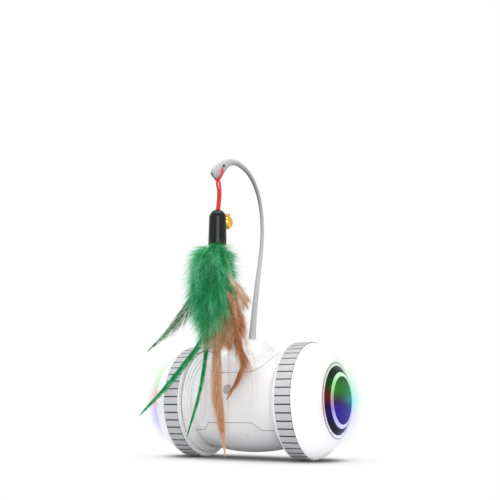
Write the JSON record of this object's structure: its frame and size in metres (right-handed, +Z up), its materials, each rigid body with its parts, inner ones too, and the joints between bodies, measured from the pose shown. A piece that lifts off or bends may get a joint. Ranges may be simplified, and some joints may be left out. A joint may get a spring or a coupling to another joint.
{
  "type": "automatic cat feather toy",
  "caption": "Self-driving cat toy: a barrel body between two lit domed wheels with grooved tyres, and a bent tail that dangles a feather lure with a bell.",
  "frame": {"origin": "on the floor, under the axle, midway between the two tyres", "axes": "+X along the axle, -Y to the front with the power button and the lure, +Z up"},
  "size_m": [0.1428, 0.107, 0.2158],
  "materials": {
    "tyre_silicone": "matte light grey silicone",
    "white_gloss": "gloss",
    "white_rim": "satin",
    "smoked_plastic": "gloss",
    "lit_ring": "gloss",
    "lit_lens": "gloss",
    "steel": "satin",
    "bronze": "satin",
    "gear_plastic": "matte",
    "inner_plastic": "matte",
    "board_green": "satin",
    "battery_foil": "satin",
    "weight_iron": "matte",
    "button_grey": "satin",
    "tail_silicone": "satin",
    "red_cord": "woven",
    "black_cap": "gloss",
    "polished_brass": "polished",
    "green_feather": "feather",
    "brown_feather": "feather",
    "binding_thread": "matte"
  },
  "bodies": {
    "chassis": {"body_shell": "white_gloss", "tail_lid": "white_gloss", "belly_cover": "white_gloss", "chassis_tray": "inner_plastic", "battery_pack": "battery_foil", "battery_cradle": "inner_plastic", "rear_weight": "weight_iron", "keel_weight": "weight_iron", "main_board": "board_green", "charge_socket": "steel", "button_switch": "inner_plastic", "belly_screws": "steel", "chassis_screws": "steel", "axle_bushes": "bronze", "idler_pins": "steel", "end_collar_right": "white_gloss", "light_board_right": "board_green", "motor_right": "steel", "gear_case_right": "inner_plastic", "end_collar_left": "white_gloss", "light_board_left": "board_green", "motor_left": "steel", "gear_case_left": "inner_plastic"},
    "right_wheel": {"tyre_right": "tyre_silicone", "wheel_rim_right": "white_rim", "wheel_dome_right": "white_gloss", "hub_disc_right": "smoked_plastic", "light_ring_right": "lit_ring", "hub_lens_right": "lit_lens", "axle_right": "steel", "wheel_screw_right": "steel", "drive_gear_right": "gear_plastic"},
    "right_idler": {"idler_gear_right": "gear_plastic"},
    "right_motor_shaft": {"motor_rotor_right": "steel"},
    "left_wheel": {"tyre_left": "tyre_silicone", "wheel_rim_left": "white_rim", "wheel_dome_left": "white_gloss", "hub_disc_left": "smoked_plastic", "light_ring_left": "lit_ring", "hub_lens_left": "lit_lens", "axle_left": "steel", "wheel_screw_left": "steel", "drive_gear_left": "gear_plastic"},
    "left_idler": {"idler_gear_left": "gear_plastic"},
    "left_motor_shaft": {"motor_rotor_left": "steel"},
    "button": {"power_button": "button_grey", "switch_plunger": "inner_plastic"},
    "tail": {"tail": "tail_silicone", "cord_hitch": "red_cord"},
    "cord": {"hanging_cord": "red_cord", "cord_end_knot": "red_cord"},
    "lure": {"lure_cap": "black_cap", "feather_binding": "binding_thread", "bell_ring": "polished_brass", "marabou_fluff": "green_feather", "green_feathers": "green_feather", "brown_feathers": "brown_feather"},
    "bell": {"bell": "polished_brass", "bell_pellet": "steel"}
  },
  "joints": [
    {"name": "right_wheel_spin", "type": "hinge", "parent": "chassis", "child": "right_wheel", "pos_m": [0, 0, 0.04], "axis": [1, 0, 0], "continuous": true},
    {"name": "right_idler_spin", "type": "hinge", "parent": "chassis", "child": "right_idler", "pos_m": [0, 0.01506, 0.04], "axis": [1, 0, 0], "continuous": true},
    {"name": "right_motor_spin", "type": "hinge", "parent": "chassis", "child": "right_motor_shaft", "pos_m": [0, 0.0035, 0.032], "axis": [1, 0, 0], "continuous": true},
    {"name": "left_wheel_spin", "type": "hinge", "parent": "chassis", "child": "left_wheel", "pos_m": [0, 0, 0.04], "axis": [1, 0, 0], "continuous": true},
    {"name": "left_idler_spin", "type": "hinge", "parent": "chassis", "child": "left_idler", "pos_m": [0, -0.01506, 0.04], "axis": [1, 0, 0], "continuous": true},
    {"name": "left_motor_spin", "type": "hinge", "parent": "chassis", "child": "left_motor_shaft", "pos_m": [0, -0.0035, 0.032], "axis": [1, 0, 0], "continuous": true},
    {"name": "button_press", "type": "slide", "parent": "chassis", "child": "button", "axis": [0, 1, 0], "range_m": [0, 0.0005], "stiffness_N_per_m": 400, "springref_m": -0.0003},
    {"name": "tail_pull", "type": "slide", "parent": "chassis", "child": "tail", "axis": [0, 0, 1], "range_m": [0, 0.012]},
    {"name": "cord_swing", "type": "hinge", "parent": "tail", "child": "cord", "pos_m": [0, -0.0502, 0.1933], "axis": [1, 0, 0], "range_deg": [-50, 1.5]},
    {"name": "lure_sway", "type": "hinge", "parent": "cord", "child": "lure", "pos_m": [0, -0.0496, 0.1672], "axis": [0, 1, 0], "range_deg": [-12, 12]},
    {"name": "bell_swing", "type": "hinge", "parent": "lure", "child": "bell", "pos_m": [0.00311, -0.04031, 0.1689], "axis": [1, 0, 0], "range_deg": [0, 55]}
  ],
  "couplings": [
    {"joint": "right_idler_spin", "follows": "right_wheel_spin", "ratio": -4},
    {"joint": "right_motor_spin", "follows": "right_wheel_spin", "ratio": 18.4},
    {"joint": "left_idler_spin", "follows": "left_wheel_spin", "ratio": -4},
    {"joint": "left_motor_spin", "follows": "left_wheel_spin", "ratio": 18.4}
  ]
}
